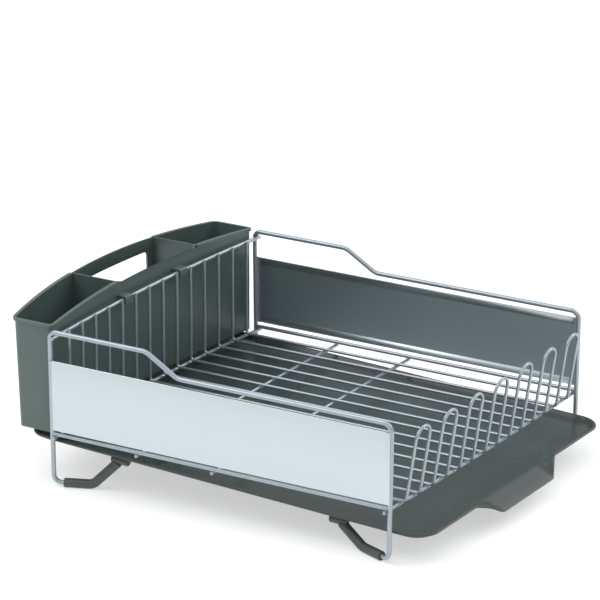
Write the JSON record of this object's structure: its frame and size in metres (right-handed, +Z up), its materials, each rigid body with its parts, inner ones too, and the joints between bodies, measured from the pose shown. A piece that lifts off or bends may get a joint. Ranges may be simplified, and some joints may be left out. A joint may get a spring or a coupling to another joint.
{
  "type": "dish drying rack",
  "caption": "Wire dish drying rack with stepped steel frames, sheet front and back, hairpin plate tines, lift-off utensil caddy and sloping drip tray with a pouring spout.",
  "frame": {"origin": "on the standing surface, under the middle of the overall box", "axes": "+X along the length towards the pouring spout, +Y from the front panel to the back, +Z up"},
  "size_m": [0.6294, 0.4882, 0.2184],
  "materials": {
    "wire": "satin silver-grey coating",
    "panel": "fine horizontal brush",
    "sleeve": "matt",
    "plastic": "matt grey-green moulding"
  },
  "bodies": {
    "rack": {"front_frame": "wire", "back_frame": "wire", "front_base_wire": "wire", "back_base_wire": "wire", "left_side_wire": "wire", "right_side_wire": "wire", "left_bearer": "wire", "middle_bearer": "wire", "left_rail": "wire", "hairpin_wire_1": "wire", "hairpin_wire_2": "wire", "hairpin_wire_3": "wire", "hairpin_wire_4": "wire", "hairpin_wire_5": "wire", "hairpin_wire_6": "wire", "hairpin_wire_7": "wire", "front_panel": "panel", "back_panel": "panel", "foot_sleeve_front_left": "sleeve", "foot_sleeve_front_right": "sleeve", "foot_sleeve_back_left": "sleeve", "foot_sleeve_back_right": "sleeve", "tray_rest_front_left": "sleeve", "tray_rest_front_right": "sleeve", "tray_rest_back_left": "sleeve", "tray_rest_back_right": "sleeve"},
    "caddy": {"caddy": "plastic"},
    "drip_tray": {"drip_tray": "plastic"}
  },
  "joints": [
    {"name": "caddy_lift", "type": "slide", "parent": "rack", "child": "caddy", "axis": [0, 0, 1], "range_m": [0, 0.17]},
    {"name": "tray_draw", "type": "slide", "parent": "rack", "child": "drip_tray", "axis": [1, 0, 0], "range_m": [0, 0.56]}
  ]
}
